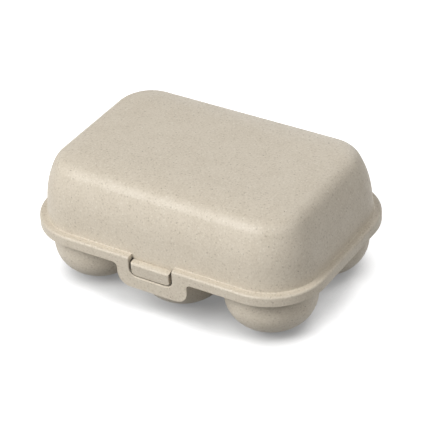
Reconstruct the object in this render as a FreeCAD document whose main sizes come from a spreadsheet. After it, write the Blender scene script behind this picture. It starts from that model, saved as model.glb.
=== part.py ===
import FreeCAD, Part
import math
import os

import Sketcher
from FreeCAD import Vector

# An egg carrier for six eggs: a tray with six round-bottomed cups, and a domed lid
# that turns on two pins at the back and snaps shut over a catch at the front.
# Lengths in millimetres, angles in degrees. X runs along the carrier, the front
# faces -Y, and the cups stand on z = 0.

SIZES = {
    # lid ring: the flat ledge and short skirt that run round the foot of the dome
    "ring_length": 200,
    "ring_width": 137.4,
    "ring_corner": 37,
    "ring_top": 43.9,
    "ring_edge": 1.5,
    "skirt_height": 6.6,
    "skirt_wall": 2.2,
    "ledge_width": 4.8,
    "flange_wall": 3,
    # lid dome: a drafted wall that bulges into a tight shoulder and a slight crown
    "carrier_height": 87.4,
    "lid_wall": 2.2,
    "wall_draft": 5.5,
    "bulge_turn": 20.6,
    "shoulder_turn": 52.2,
    # the bulge's and the shoulder's radii, as shares of the dome's height
    "bulge_share": 1.4253,
    "shoulder_share": 0.2805,
    # tray: the deck that lies under the ledge, inside the skirt
    "rim_gap": 0.5,
    "deck_wall": 2.4,
    "lip_wall": 2,
    "lip_drop": 1.2,
    # cups, in two rows of three: their pitch as a share of the ring's length and width,
    # their radius as a share of the smaller pitch, and their profile as shares of that radius
    "cup_along_share": 0.314,
    "cup_across_share": 0.4753,
    "cup_radius_share": 0.4634,
    "cup_side_share": 0.7216,
    "cup_bowl_share": 0.8007,
    "cup_foot_share": 0.24,
    "cup_wall": 2.2,
    # catch on the tray, flush in the window of the lid's latch
    "catch_width": 27.6,
    "catch_height": 9.8,
    "catch_recess": 0.1,
    "catch_corner": 3.5,
    "catch_edge": 1.5,
    "catch_rib_spread": 18,
    "catch_rib_wall": 2,
    "catch_rib_depth": 3.5,
    "catch_rib_height": 4,
    # latch: a bar on two arms that hang from the skirt
    "window_gap": 1.7,
    "sill_gap": 0.3,
    "latch_wall": 2.2,
    "latch_width": 50,
    "latch_bar": 8.3,
    "latch_corner": 8.5,
    "window_corner": 5,
    "latch_gusset": 3,
    # hinge: the distance between the two, as a share of the ring's length
    "hinge_spread_share": 0.45,
    "hinge_offset": 4,
    "hinge_drop": 2.8,
    "knuckle_radius": 3,
    "knuckle_length": 14,
    "knuckle_web": 5,
    "pin_radius": 1.5,
    "pin_clearance": 0.05,
    "ear_wall": 2.5,
    "ear_gap": 0.3,
    "ear_root": 3.5,
    "ear_height": 4,
    "skirt_clearance": 0.5,
    # how far a cutting sketch starts outside what it cuts
    "overrun": 1,
}
# a gusset's arc is a little flatter than a quarter circle, so that its tip isn't a feather edge
GUSSET_SHARE = 1.25
# how near a point has to be to a place, as a share of the fillet that is put there
NEAR_SHARE = 0.01
QUARTER_TURN = 90
FULL_TURN = 360

doc = FreeCAD.newDocument("egg_carrier")
sheet = doc.addObject("Spreadsheet::Sheet", "sizes")
for row, (alias, number) in enumerate(SIZES.items(), 1):
    sheet.set(f"A{row}", alias)
    sheet.set(f"B{row}", str(number))
    sheet.setAlias(f"B{row}", alias)
doc.recompute()


class Size:
    """A number together with the formula on the sheet's cells that gives it."""

    def __init__(self, value, formula):
        self.value = value
        self.formula = formula

    @staticmethod
    def of(other):
        return other if isinstance(other, Size) else Size(other, str(other))

    def __add__(self, other):
        other = Size.of(other)
        return Size(self.value + other.value, f"({self.formula} + {other.formula})")

    def __sub__(self, other):
        other = Size.of(other)
        return Size(self.value - other.value, f"({self.formula} - {other.formula})")

    def __mul__(self, other):
        other = Size.of(other)
        return Size(self.value * other.value, f"({self.formula} * {other.formula})")

    def __truediv__(self, other):
        other = Size.of(other)
        return Size(self.value / other.value, f"({self.formula} / {other.formula})")

    def __neg__(self):
        return Size(-self.value, f"(-1 * {self.formula})")

    def or_less(self, other):
        """The smaller of the two."""
        return Size(min(self.value, other.value), f"min({self.formula}; {other.formula})")


ZERO = Size(0, "0")
RIGHT_ANGLE = Size(QUARTER_TURN, str(QUARTER_TURN))
s = {alias: Size(float(number), f"sizes.{alias}") for alias, number in SIZES.items()}

# places that several pieces share
half_length = s["ring_length"] / 2
half_width = s["ring_width"] / 2
core_x = half_length - s["ring_corner"]
core_y = half_width - s["ring_corner"]
skirt_bottom = s["ring_top"] - s["skirt_height"]
deck_top = s["ring_top"] - s["flange_wall"]
deck_bottom = deck_top - s["deck_wall"]
lip_bottom = deck_bottom - s["lip_drop"]
rim_inset = s["skirt_wall"] + s["rim_gap"]
rim_y = half_width - rim_inset
hinge_y = half_width + s["hinge_offset"]
hinge_z = skirt_bottom - s["hinge_drop"]
# the hinges stand out behind the ring, so all pieces move forward by half of that
forward = -(s["hinge_offset"] + s["knuckle_radius"]) / 2
hinge_spread = s["ring_length"] * s["hinge_spread_share"]
dome_height = s["carrier_height"] - s["ring_top"]
bulge_radius = dome_height * s["bulge_share"]
shoulder_radius = dome_height * s["shoulder_share"]
pitch_along = s["ring_length"] * s["cup_along_share"]
pitch_across = s["ring_width"] * s["cup_across_share"]
cup_radius = pitch_along.or_less(pitch_across) * s["cup_radius_share"]
cup_foot = cup_radius * s["cup_foot_share"]
side_radius = cup_radius * s["cup_side_share"]
side_height = cup_radius * s["cup_bowl_share"]
catch_bottom = deck_top - s["catch_height"]
window_half = s["catch_width"] / 2 + s["window_gap"]
sill = catch_bottom - s["sill_gap"]
latch_bottom = sill - s["latch_bar"]


def new_body(label, x=ZERO, y=ZERO):
    """A body named label, its own origin moved by x and y from the ring's centre."""
    body = doc.addObject("PartDesign::Body", label)
    body.Label = label
    body.setExpression("Placement.Base.x", x.formula)
    body.setExpression("Placement.Base.y", (y + forward).formula)
    return body


def origin_feature(body, role):
    return next(f for f in body.Origin.OriginFeatures if f.Role == role)


def new_sketch(body, name, role, offset=ZERO):
    """A sketch on one of the body's own planes, moved along the plane's normal by offset."""
    sketch = body.newObject("Sketcher::SketchObject", name)
    sketch.AttachmentSupport = (origin_feature(body, role), [""])
    sketch.MapMode = "FlatFace"
    sketch.setExpression("AttachmentOffset.Base.z", offset.formula)
    return sketch


class Outline:
    """Lines and arcs in a sketch, each held by constraints that follow the sheet."""

    START, END, CENTRE = 1, 2, 3

    def __init__(self, sketch):
        self.sketch = sketch

    def line(self, a, b):
        return self.sketch.addGeometry(Part.LineSegment(Vector(*a, 0), Vector(*b, 0)), False)

    def axis(self, a, b):
        return self.sketch.addGeometry(Part.LineSegment(Vector(*a, 0), Vector(*b, 0)), True)

    def arc(self, centre, radius, first, last):
        """An arc that runs counterclockwise between two angles in degrees."""
        circle = Part.Circle(Vector(*centre, 0), Vector(0, 0, 1), radius)
        shape = Part.ArcOfCircle(circle, math.radians(first), math.radians(last))
        return self.sketch.addGeometry(shape, False)

    def circle(self, x, y, radius):
        circle = Part.Circle(Vector(x.value, y.value, 0), Vector(0, 0, 1), radius.value)
        made = self.sketch.addGeometry(circle, False)
        self.place(made, self.CENTRE, x, y)
        self.measure("Radius", (made,), radius)
        return made

    def tie(self, kind, *where):
        self.sketch.addConstraint(Sketcher.Constraint(kind, *where))

    def measure(self, kind, where, size):
        number = self.sketch.addConstraint(Sketcher.Constraint(kind, *where, size.value))
        self.sketch.setExpression(f"Constraints[{number}]", size.formula)

    def turn(self, where, size):
        """Holds an angle that the sheet gives in degrees."""
        held = Sketcher.Constraint("Angle", *where, math.radians(size.value))
        number = self.sketch.addConstraint(held)
        self.sketch.setExpression(f"Constraints[{number}]", f"{size.formula} * 1 deg")

    def place(self, item, point, x=None, y=None):
        """Holds a point at x and y from the sketch's origin."""
        for size, kind, line in ((x, "DistanceX", -2), (y, "DistanceY", -1)):
            if size is ZERO:
                self.tie("PointOnObject", item, point, line)
            elif size is not None:
                self.measure(kind, (-1, 1, item, point), size)

    def path(self, corners):
        """A closed outline through corners (x, y, arc to the next corner or None).

        An arc is its radius and 1 where it runs counterclockwise, or -1 where it doesn't."""
        made = []
        for (x, y, arc), (x2, y2, _) in zip(corners, corners[1:] + corners[:1]):
            a, b = Vector(x.value, y.value, 0), Vector(x2.value, y2.value, 0)
            if arc is None:
                made.append((self.line(a[:2], b[:2]), self.START, self.END))
                continue
            radius, way = arc
            chord = b - a
            side = Vector(-chord.y, chord.x, 0).normalize() * way
            centre = a + chord / 2 + side * math.sqrt(radius.value**2 - chord.Length**2 / 4)
            ends = (a, b) if way > 0 else (b, a)
            first, last = (math.degrees(math.atan2(*reversed((p - centre)[:2]))) for p in ends)
            item = self.arc(centre[:2], radius.value, first, last + FULL_TURN * (last < first))
            self.measure("Radius", (item,), radius)
            made.append((item, self.START, self.END) if way > 0 else (item, self.END, self.START))
        for (x, y, _), (item, start, _), (before, _, end) in zip(corners, made, made[-1:] + made):
            self.tie("Coincident", item, start, before, end)
            self.place(item, start, x, y)


def rounded_rectangle(outline, half_x, half_y, radius):
    bulge = (radius, 1)
    outline.path(
        [
            (half_x - radius, -half_y, bulge),
            (half_x, radius - half_y, None),
            (half_x, half_y - radius, bulge),
            (half_x - radius, half_y, None),
            (radius - half_x, half_y, bulge),
            (-half_x, half_y - radius, None),
            (-half_x, radius - half_y, bulge),
            (radius - half_x, -half_y, None),
        ]
    )


def rectangle(outline, low_x, low_y, high_x, high_y):
    corners = ((low_x, low_y), (high_x, low_y), (high_x, high_y), (low_x, high_y))
    outline.path([(x, y, None) for x, y in corners])


def pad(body, name, sketch, length, reverse=False, both=False):
    feature = body.newObject("PartDesign::Pad", name)
    feature.Profile = sketch
    feature.setExpression("Length", length.formula)
    feature.Reversed = reverse
    feature.Midplane = both
    return settle(body, feature)


def pocket(body, name, sketch, length, both=False):
    before = body.Shape.Volume
    feature = body.newObject("PartDesign::Pocket", name)
    feature.Profile = sketch
    feature.setExpression("Length", length.formula)
    feature.Midplane = both
    settle(body, feature)
    if not body.Shape.Volume < before:
        raise RuntimeError(f"{name} of {body.Label} cuts nothing")
    return feature


def settle(body, feature):
    body.Tip = feature
    doc.recompute()
    return feature


def mirror(body, name, features, *roles):
    """Copies features across one or two of the body's planes."""
    parts = []
    for role in roles:
        part = doc.addObject("PartDesign::Mirrored", f"{name}_{role}")
        part.MirrorPlane = (origin_feature(body, role), [""])
        parts.append(part)
    if len(parts) == 1:
        body.addObject(parts[0])
        parts[0].Originals = features
        return settle(body, parts[0])
    both = body.newObject("PartDesign::MultiTransform", name)
    both.Originals = features
    for part in parts:
        body.addObject(part)
    both.Transformations = parts
    return settle(body, both)


def dome_section(outline, core):
    """The lid's wall, ledge and skirt in section, from the core's edge outwards."""
    v = {name: size.value for name, size in s.items()}
    bulge, shoulder = bulge_radius.value, shoulder_radius.value
    draft = math.radians(v["wall_draft"])
    bulge_end = draft + math.radians(v["bulge_turn"])
    shoulder_end = bulge_end + math.radians(v["shoulder_turn"])
    # the wall's straight run and the crown's radius are what is left to close the outline
    foot = v["ring_corner"] - v["ledge_width"]
    run = foot - bulge * (math.cos(draft) - math.cos(bulge_end))
    run -= shoulder * (math.cos(bulge_end) - math.cos(shoulder_end))
    rise = dome_height.value - bulge * (math.sin(bulge_end) - math.sin(draft))
    rise -= shoulder * (math.sin(shoulder_end) - math.sin(bulge_end))
    crown_run, crown_rise = math.cos(shoulder_end), 1 - math.sin(shoulder_end)
    closing = math.cos(draft) * crown_run - math.sin(draft) * crown_rise
    crown = (math.cos(draft) * run - math.sin(draft) * rise) / closing
    u0 = core.value

    def arcs(wall):
        """Centres and radii of crown, shoulder and bulge, wall inwards from the outside."""
        top = (u0, v["carrier_height"] - crown)
        gap = crown - shoulder
        mid = (top[0] + gap * math.cos(shoulder_end), top[1] + gap * math.sin(shoulder_end))
        gap = shoulder - bulge
        low = (mid[0] + gap * math.cos(bulge_end), mid[1] + gap * math.sin(bulge_end))
        return (
            (top, crown - wall, shoulder_end, math.pi / 2),
            (mid, shoulder - wall, bulge_end, shoulder_end),
            (low, bulge - wall, draft, bulge_end),
        )

    def wall_side(wall, level):
        """Draws one side of the dome's wall, down to a level."""
        made = [
            outline.arc(centre, radius, math.degrees(first), math.degrees(last))
            for centre, radius, first, last in arcs(wall)
        ]
        centre, radius, first, _ = arcs(wall)[-1]
        top = (centre[0] + radius * math.cos(first), centre[1] + radius * math.sin(first))
        foot = (top[0] + (top[1] - level) * math.tan(first), level)
        made.append(outline.line(top, foot))
        outline.tie("Tangent", made[0], outline.START, made[1], outline.END)
        outline.tie("Tangent", made[1], outline.START, made[2], outline.END)
        outline.tie("Tangent", made[2], outline.START, made[3], outline.START)
        return made, foot

    outer, outer_foot = wall_side(0, v["ring_top"])
    inner, inner_foot = wall_side(v["lid_wall"], deck_top.value)
    outline.place(outer[0], outline.CENTRE, x=core)
    outline.measure("Radius", (outer[1],), shoulder_radius)
    outline.measure("Radius", (outer[2],), bulge_radius)
    outline.turn((outer[3],), s["wall_draft"] - RIGHT_ANGLE)
    outline.turn((outer[1],), s["shoulder_turn"])
    outline.turn((outer[2],), s["bulge_turn"])
    outline.place(outer[0], outline.END, core, s["carrier_height"])
    outline.place(outer[3], outline.END, core + s["ring_corner"] - s["ledge_width"], s["ring_top"])
    for out, into in zip(outer[:3], inner[:3]):
        outline.tie("Coincident", out, outline.CENTRE, into, outline.CENTRE)
    outline.tie("Parallel", outer[3], inner[3])
    outline.place(inner[0], outline.END, core, s["carrier_height"] - s["lid_wall"])
    outline.place(inner[3], outline.END, y=deck_top)

    edge = s["ring_edge"]
    rim = core + s["ring_corner"]
    back = rim - s["skirt_wall"]
    corners = [
        (rim - edge, s["ring_top"]),
        (rim, s["ring_top"] - edge),
        (rim, skirt_bottom),
        (back, skirt_bottom),
        (back, deck_top),
    ]
    at = [(x.value, y.value) for x, y in corners]
    ledge = outline.line(outer_foot, at[0])
    turn = outline.arc((at[0][0], at[1][1]), edge.value, 0, QUARTER_TURN)
    outline.measure("Radius", (turn,), edge)
    outline.tie("Coincident", outer[3], outline.END, ledge, outline.START)
    outline.tie("Coincident", ledge, outline.END, turn, outline.END)
    outline.place(turn, outline.END, *corners[0])
    outline.place(turn, outline.START, *corners[1])
    below = [outline.line(a, b) for a, b in zip(at[1:], at[2:] + [inner_foot])]
    outline.tie("Coincident", turn, outline.START, below[0], outline.START)
    for a, b, corner in zip(below, below[1:], corners[2:]):
        outline.tie("Coincident", a, outline.END, b, outline.START)
        outline.place(b, outline.START, *corner)
    outline.tie("Coincident", below[-1], outline.END, inner[3], outline.END)
    closing_line = outline.line((u0, v["carrier_height"] - v["lid_wall"]), (u0, v["carrier_height"]))
    outline.tie("Coincident", closing_line, outline.START, inner[0], outline.END)
    outline.tie("Coincident", closing_line, outline.END, outer[0], outline.END)
    # the corner turns about the core's corner
    centre_line = outline.axis((u0, 0), (u0, v["carrier_height"]))
    outline.place(centre_line, outline.START, core, ZERO)
    outline.place(centre_line, outline.END, core, s["carrier_height"])


def make_lid_shell():
    body = new_body("lid_shell")
    plate = new_sketch(body, "top_outline", "XY_Plane", s["carrier_height"] - s["lid_wall"])
    rectangle(Outline(plate), -core_x, -core_y, core_x, core_y)
    pad(body, "top_plate", plate, s["lid_wall"])

    side = new_sketch(body, "side_section", "XZ_Plane", core_y)
    dome_section(Outline(side), core_x)
    side_wall = pad(body, "side_wall", side, core_y * 2, reverse=True)
    mirror(body, "other_side_wall", [side_wall], "YZ_Plane")

    long = new_sketch(body, "long_section", "YZ_Plane")
    dome_section(Outline(long), core_y)
    rear_wall = pad(body, "rear_wall", long, core_x * 2, both=True)
    mirror(body, "front_wall", [rear_wall], "XZ_Plane")

    corner = body.newObject("PartDesign::Revolution", "corner")
    corner.Profile = side
    corner.ReferenceAxis = (side, ["Axis0"])
    corner.Angle = QUARTER_TURN
    corner.Reversed = True
    settle(body, corner)
    mirror(body, "other_corners", [corner], "YZ_Plane", "XZ_Plane")

    window = new_sketch(body, "window_outline", "XZ_Plane", half_width + s["overrun"])
    rectangle(
        Outline(window),
        -window_half,
        skirt_bottom - s["overrun"],
        window_half,
        s["ring_top"] + s["overrun"],
    )
    pocket(body, "window", window, s["ledge_width"] + s["overrun"])

    knuckle = new_sketch(
        body, "knuckle_outline", "YZ_Plane", (hinge_spread - s["knuckle_length"]) / 2
    )
    inside = half_width - s["skirt_wall"] / 2
    web_top = skirt_bottom + s["knuckle_web"]
    barrel = (s["knuckle_radius"], 1)
    Outline(knuckle).path(
        [
            (inside, skirt_bottom, None),
            (hinge_y - s["knuckle_radius"], skirt_bottom, None),
            (hinge_y - s["knuckle_radius"], hinge_z, barrel),
            (hinge_y, hinge_z - s["knuckle_radius"], barrel),
            (hinge_y + s["knuckle_radius"], hinge_z, None),
            (half_width + s["skirt_wall"], web_top, None),
            (inside, web_top, None),
        ]
    )
    barrel_pad = pad(body, "knuckle", knuckle, s["knuckle_length"])
    mirror(body, "other_knuckle", [barrel_pad], "YZ_Plane")
    bore = new_sketch(body, "bore_outline", "YZ_Plane")
    Outline(bore).circle(hinge_y, hinge_z, s["pin_radius"] + s["pin_clearance"])
    pocket(body, "bores", bore, hinge_spread + s["knuckle_length"] * 2, both=True)
    return body


def make_latch_flap():
    body = new_body("latch_flap")
    sketch = new_sketch(body, "latch_outline", "XZ_Plane", half_width - s["latch_wall"])
    half = s["latch_width"] / 2
    gusset = s["latch_gusset"]
    tip = half + gusset
    sweep = (gusset * GUSSET_SHARE, 1)
    inner = (s["window_corner"], 1)
    outer = (s["latch_corner"], -1)
    shoulder = window_half - s["window_corner"]
    Outline(sketch).path(
        [
            (-tip, skirt_bottom, None),
            (-window_half, skirt_bottom, None),
            (-window_half, sill + s["window_corner"], inner),
            (-shoulder, sill, None),
            (shoulder, sill, inner),
            (window_half, sill + s["window_corner"], None),
            (window_half, skirt_bottom, None),
            (tip, skirt_bottom, sweep),
            (half, skirt_bottom - gusset, None),
            (half, latch_bottom + s["latch_corner"], outer),
            (half - s["latch_corner"], latch_bottom, None),
            (s["latch_corner"] - half, latch_bottom, outer),
            (-half, latch_bottom + s["latch_corner"], None),
            (-half, skirt_bottom - gusset, sweep),
        ]
    )
    pad(body, "latch_plate", sketch, s["latch_wall"])
    return body


def make_base_tray():
    body = new_body("base_tray")
    deck = new_sketch(body, "deck_outline", "XY_Plane", deck_bottom)
    corner = s["ring_corner"] - rim_inset
    outline = Outline(deck)
    rounded_rectangle(outline, half_length - rim_inset, rim_y, corner)
    for x, y in cup_places():
        outline.circle(x, y, cup_radius - s["cup_wall"])
    pad(body, "deck", deck, s["deck_wall"])

    lip = new_sketch(body, "lip_outline", "XY_Plane", lip_bottom)
    outline = Outline(lip)
    rounded_rectangle(outline, half_length - rim_inset, rim_y, corner)
    inset = rim_inset + s["lip_wall"]
    rounded_rectangle(outline, half_length - inset, half_width - inset, s["ring_corner"] - inset)
    pad(body, "lip", lip, s["lip_drop"])

    # a pair of ears at each hinge passes under the lid's skirt
    ears = []
    pair = s["knuckle_length"] / 2 + s["ear_gap"]
    under = skirt_bottom - s["skirt_clearance"]
    root = rim_y - s["ear_root"]
    end = (s["knuckle_radius"], 1)
    for name, at in (("inner", -pair - s["ear_wall"]), ("outer", pair)):
        ear = new_sketch(body, f"{name}_ear_outline", "YZ_Plane", hinge_spread / 2 + at)
        Outline(ear).path(
            [
                (root, hinge_z - s["ear_height"] / 2, None),
                (hinge_y, hinge_z - s["knuckle_radius"], end),
                (hinge_y + s["knuckle_radius"], hinge_z, end),
                (hinge_y, hinge_z + s["knuckle_radius"], None),
                (hinge_y - s["knuckle_radius"], under, None),
                (rim_y, under, None),
                (rim_y, deck_bottom, None),
                (root, deck_bottom, None),
            ]
        )
        ears.append(pad(body, f"{name}_ear", ear, s["ear_wall"]))
    for ear in ears:
        mirror(body, f"other_{ear.Name}", [ear], "YZ_Plane")
    bore = new_sketch(body, "pin_seat_outline", "YZ_Plane")
    Outline(bore).circle(hinge_y, hinge_z, s["pin_radius"])
    pocket(body, "pin_seats", bore, hinge_spread + s["knuckle_length"] * 2, both=True)
    return body


def cup_places():
    """The cups' centres, front row first, left to right."""
    across = pitch_across / 2
    return [(x, y) for y in (-across, across) for x in (-pitch_along, ZERO, pitch_along)]


def cup_section(outline):
    """Half a cup in section: a flat foot, a wide bottom arc, a side arc and a straight top."""
    side, foot, level = side_radius.value, cup_foot.value, side_height.value
    wide = cup_radius.value
    offset = wide - side
    # the bottom arc is centred on the axis, starts at the foot's edge and touches the side arc
    p = (foot**2 + side**2 - offset**2 - level**2) / (2 * side)
    q = level / side
    a, b, c = q**2 - 1, 2 * p * q, p**2 - foot**2
    height = (-b + math.sqrt(b**2 - 4 * a * c)) / (2 * a)
    bottom = p + q * height
    tilt = math.degrees(math.atan2(level - height, offset))
    foot_turn = math.degrees(math.atan2(-height, foot))
    wall = s["cup_wall"].value
    floor = height - bottom + wall
    rim = deck_bottom.value
    made = {}
    for name, t, start in (("outer", 0, foot_turn), ("inner", wall, -RIGHT_ANGLE.value)):
        low = outline.arc((0, height), bottom - t, start, tilt)
        turn = outline.arc((offset, level), side - t, tilt, 0)
        up = outline.line((wide - t, level), (wide - t, rim))
        outline.tie("Tangent", low, outline.END, turn, outline.START)
        outline.tie("Tangent", turn, outline.END, up, outline.START)
        outline.tie("Vertical", up)
        made[name] = low, turn, up
    outer, inner = made["outer"], made["inner"]
    base = outline.line((0, 0), (foot, 0))
    outline.place(base, outline.START, ZERO, ZERO)
    outline.tie("Coincident", base, outline.END, outer[0], outline.START)
    outline.place(base, outline.END, cup_foot, ZERO)
    outline.tie("PointOnObject", outer[0], outline.CENTRE, -2)
    outline.measure("Radius", (outer[1],), side_radius)
    outline.place(outer[1], outline.END, cup_radius, side_height)
    outline.place(outer[2], outline.END, y=deck_bottom)
    top = outline.line((wide, rim), (wide - wall, rim))
    outline.tie("Horizontal", top)
    outline.tie("Coincident", top, outline.START, outer[2], outline.END)
    outline.tie("Coincident", top, outline.END, inner[2], outline.END)
    outline.tie("Coincident", outer[0], outline.CENTRE, inner[0], outline.CENTRE)
    outline.tie("Coincident", outer[1], outline.CENTRE, inner[1], outline.CENTRE)
    outline.place(inner[2], outline.START, x=cup_radius - s["cup_wall"])
    middle = outline.line((0, floor), (0, 0))
    outline.tie("Coincident", middle, outline.START, inner[0], outline.START)
    outline.tie("Coincident", middle, outline.END, base, outline.START)
    outline.tie("Vertical", middle)


def make_cup(label, x, y):
    body = new_body(label, x, y)
    sketch = new_sketch(body, f"{label}_section", "XZ_Plane")
    cup_section(Outline(sketch))
    bowl = body.newObject("PartDesign::Revolution", f"{label}_bowl")
    bowl.Profile = sketch
    bowl.ReferenceAxis = (sketch, ["V_Axis"])
    bowl.Angle = FULL_TURN
    settle(body, bowl)
    return body


def make_latch_catch():
    body = new_body("latch_catch")
    face = new_sketch(body, "catch_outline", "XZ_Plane", rim_y)
    half, corner = s["catch_width"] / 2, s["catch_corner"]
    Outline(face).path(
        [
            (corner - half, catch_bottom, None),
            (half - corner, catch_bottom, (corner, 1)),
            (half, catch_bottom + corner, None),
            (half, deck_top, None),
            (-half, deck_top, None),
            (-half, catch_bottom + corner, (corner, 1)),
        ]
    )
    plate = pad(body, "catch_plate", face, rim_inset - s["catch_recess"])
    front = s["catch_recess"] - half_width
    edges = [
        f"Edge{number}"
        for number, edge in enumerate(plate.Shape.Edges, 1)
        if on_edge(edge, front.value, deck_top.value)
    ]
    fillet = body.newObject("PartDesign::Fillet", "catch_top_edge")
    fillet.Base = (plate, edges)
    fillet.setExpression("Radius", s["catch_edge"].formula)
    settle(body, fillet)
    ribs = []
    for name, middle in (("left", -s["catch_rib_spread"] / 2), ("right", s["catch_rib_spread"] / 2)):
        rib = new_sketch(
            body, f"{name}_rib_outline", "YZ_Plane", middle - s["catch_rib_wall"] / 2
        )
        Outline(rib).path(
            [
                (-rim_y, lip_bottom, None),
                (-rim_y, lip_bottom - s["catch_rib_height"], None),
                (s["catch_rib_depth"] - rim_y, lip_bottom, None),
            ]
        )
        ribs.append(pad(body, f"{name}_rib", rib, s["catch_rib_wall"]))
    return body


def on_edge(edge, y, z):
    """Whether an edge runs along X at a place in its feature's own frame."""
    tolerance = s["catch_edge"].value * NEAR_SHARE
    points = [edge.valueAt(t) for t in (edge.FirstParameter, edge.LastParameter)]
    return all(abs(p.y - y) < tolerance and abs(p.z - z) < tolerance for p in points)


def make_pin(label, side):
    body = new_body(label)
    reach = s["knuckle_length"] + (s["ear_gap"] + s["ear_wall"]) * 2
    sketch = new_sketch(
        body, f"{label}_outline", "YZ_Plane", hinge_spread * side / 2 - reach / 2
    )
    Outline(sketch).circle(hinge_y, hinge_z, s["pin_radius"])
    pad(body, f"{label}_rod", sketch, reach)
    return body


CUP_NAMES = [
    f"egg_cup_{row}_{column}" for row in ("front", "rear") for column in ("left", "middle", "right")
]
bodies = [make_base_tray()]
bodies += [make_cup(name, x, y) for name, (x, y) in zip(CUP_NAMES, cup_places())]
bodies += [make_latch_catch(), make_pin("hinge_pin_left", -1), make_pin("hinge_pin_right", 1)]
bodies += [make_lid_shell(), make_latch_flap()]

doc.recompute()
for item in doc.Objects:
    if {"Invalid", "Error"} & set(item.State):
        raise RuntimeError(f"{item.Name} failed: {item.State}")
for body in bodies:
    if body.Shape.isNull() or not body.Shape.isValid() or len(body.Shape.Solids) != 1:
        raise RuntimeError(f"{body.Label} isn't one valid solid")

os.makedirs("parts", exist_ok=True)
for body in bodies:
    body.Shape.exportStep(f"parts/{body.Label}.step")
    box = body.Shape.BoundBox
    print(body.Label, round(body.Shape.Volume), [round(c, 2) for c in (box.XMin, box.XMax)],
          [round(c, 2) for c in (box.YMin, box.YMax)], [round(c, 2) for c in (box.ZMin, box.ZMax)])
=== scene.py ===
"""Looks of an egg carrier: a domed lid with its latch, a tray of six cups, and the hinge between them.

Everything is in metres in the row frame: X runs along the carrier, the latch side faces -Y, and the
cups stand on z = 0.
"""

import logging
import math
from collections.abc import Callable, Iterator
from contextlib import contextmanager
from dataclasses import dataclass, field
from enum import Enum

import bmesh
import bpy
from mathutils import Matrix, Vector


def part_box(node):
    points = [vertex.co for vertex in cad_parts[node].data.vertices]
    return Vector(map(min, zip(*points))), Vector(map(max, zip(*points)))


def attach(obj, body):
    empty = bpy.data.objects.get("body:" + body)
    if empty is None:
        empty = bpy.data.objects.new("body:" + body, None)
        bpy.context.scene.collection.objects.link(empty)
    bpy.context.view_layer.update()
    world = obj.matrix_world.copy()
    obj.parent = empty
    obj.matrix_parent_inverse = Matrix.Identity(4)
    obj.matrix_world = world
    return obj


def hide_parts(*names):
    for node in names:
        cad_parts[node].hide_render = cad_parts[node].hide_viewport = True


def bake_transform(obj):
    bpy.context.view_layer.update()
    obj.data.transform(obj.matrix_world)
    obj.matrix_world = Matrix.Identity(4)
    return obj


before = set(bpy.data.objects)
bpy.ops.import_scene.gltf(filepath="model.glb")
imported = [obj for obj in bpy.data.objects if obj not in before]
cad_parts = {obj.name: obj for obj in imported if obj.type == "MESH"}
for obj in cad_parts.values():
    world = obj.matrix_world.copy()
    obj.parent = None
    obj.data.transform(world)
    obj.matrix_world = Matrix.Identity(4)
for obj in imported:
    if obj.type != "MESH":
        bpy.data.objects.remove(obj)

MM = 0.001
HALF_TURN = math.pi
QUARTER_TURN = math.pi / 2
CLOSE = 0.02 * MM
DOUBLED = 0.005 * MM
FACING = 0.5
# A full rounding takes this share of the half width, so that its two sides don't meet.
NEARLY = 0.999
SHARP_EDGE = math.radians(35)
SMOOTH_BELOW = math.radians(45)
CORNER_STEPS = 8
BARREL_STEPS = 10
ROUNDING_STEPS = 3
PIN_SIDES = 32
MEAN_NOISE = 0.5

log = logging.getLogger("egg_carrier")

Step = tuple[float, float]


class Pick(Enum):
    """What an edit-mode selection is made of."""

    VERT = "VERT"
    EDGE = "EDGE"
    FACE = "FACE"


class Joining(Enum):
    """How one solid is put together with another."""

    UNION = "UNION"
    DIFFERENCE = "DIFFERENCE"


# ---- modelling helpers: each is one thing done by hand in the modeller ----


def choose(piece: bpy.types.Object, *others: bpy.types.Object) -> None:
    """Selects a piece, which becomes the active one, and perhaps others, and nothing else."""
    bpy.ops.object.select_all(action="DESELECT")
    for chosen in (piece, *others):
        chosen.select_set(True)
    bpy.context.view_layer.objects.active = piece


def start_piece(name: str, add: Callable[..., object], scale: Vector, place: Vector, **how: object) -> bpy.types.Object:
    """Adds a primitive at its size and place, with nothing else selected.

    Args:
        name: The piece's name.
        add: The operator that adds the primitive.
        scale: Its size along each axis.
        place: Where its centre goes.
        how: More of the operator's own options.

    Returns:
        The new object, with its size and place in its mesh.
    """
    bpy.ops.object.select_all(action="DESELECT")
    add(location=place, **how)
    piece = bpy.context.object
    piece.name = piece.data.name = name
    piece.scale = scale
    bpy.ops.object.transform_apply(location=True, rotation=True, scale=True)
    return piece


@contextmanager
def editing(piece: bpy.types.Object, kind: Pick = Pick.FACE) -> Iterator[None]:
    """Opens a piece in edit mode.

    Args:
        piece: The piece to edit.
        kind: What selections are made of.
    """
    choose(piece)
    bpy.ops.object.mode_set(mode="EDIT")
    bpy.ops.mesh.select_mode(type=kind.value)
    yield
    bpy.ops.object.mode_set(mode="OBJECT")


def pick(kind: Pick, wanted: Callable[[object], bool]) -> int:
    """Selects, in the piece that is open, only the items that are wanted.

    Args:
        kind: Vertices, edges or faces.
        wanted: Says whether a bmesh item is wanted.

    Returns:
        How many items were selected.
    """
    bpy.ops.mesh.select_mode(type=kind.value)
    bpy.ops.mesh.select_all(action="DESELECT")
    data = bpy.context.object.data
    mesh = bmesh.from_edit_mesh(data)
    items = {Pick.VERT: mesh.verts, Pick.EDGE: mesh.edges, Pick.FACE: mesh.faces}[kind]
    chosen = [item for item in items if wanted(item)]
    for item in chosen:
        item.select_set(True)
    mesh.select_flush_mode()
    bmesh.update_edit_mesh(data)
    return len(chosen)


def pick_all() -> None:
    """Selects all of the piece that is open."""
    bpy.ops.mesh.select_all(action="SELECT")


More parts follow.
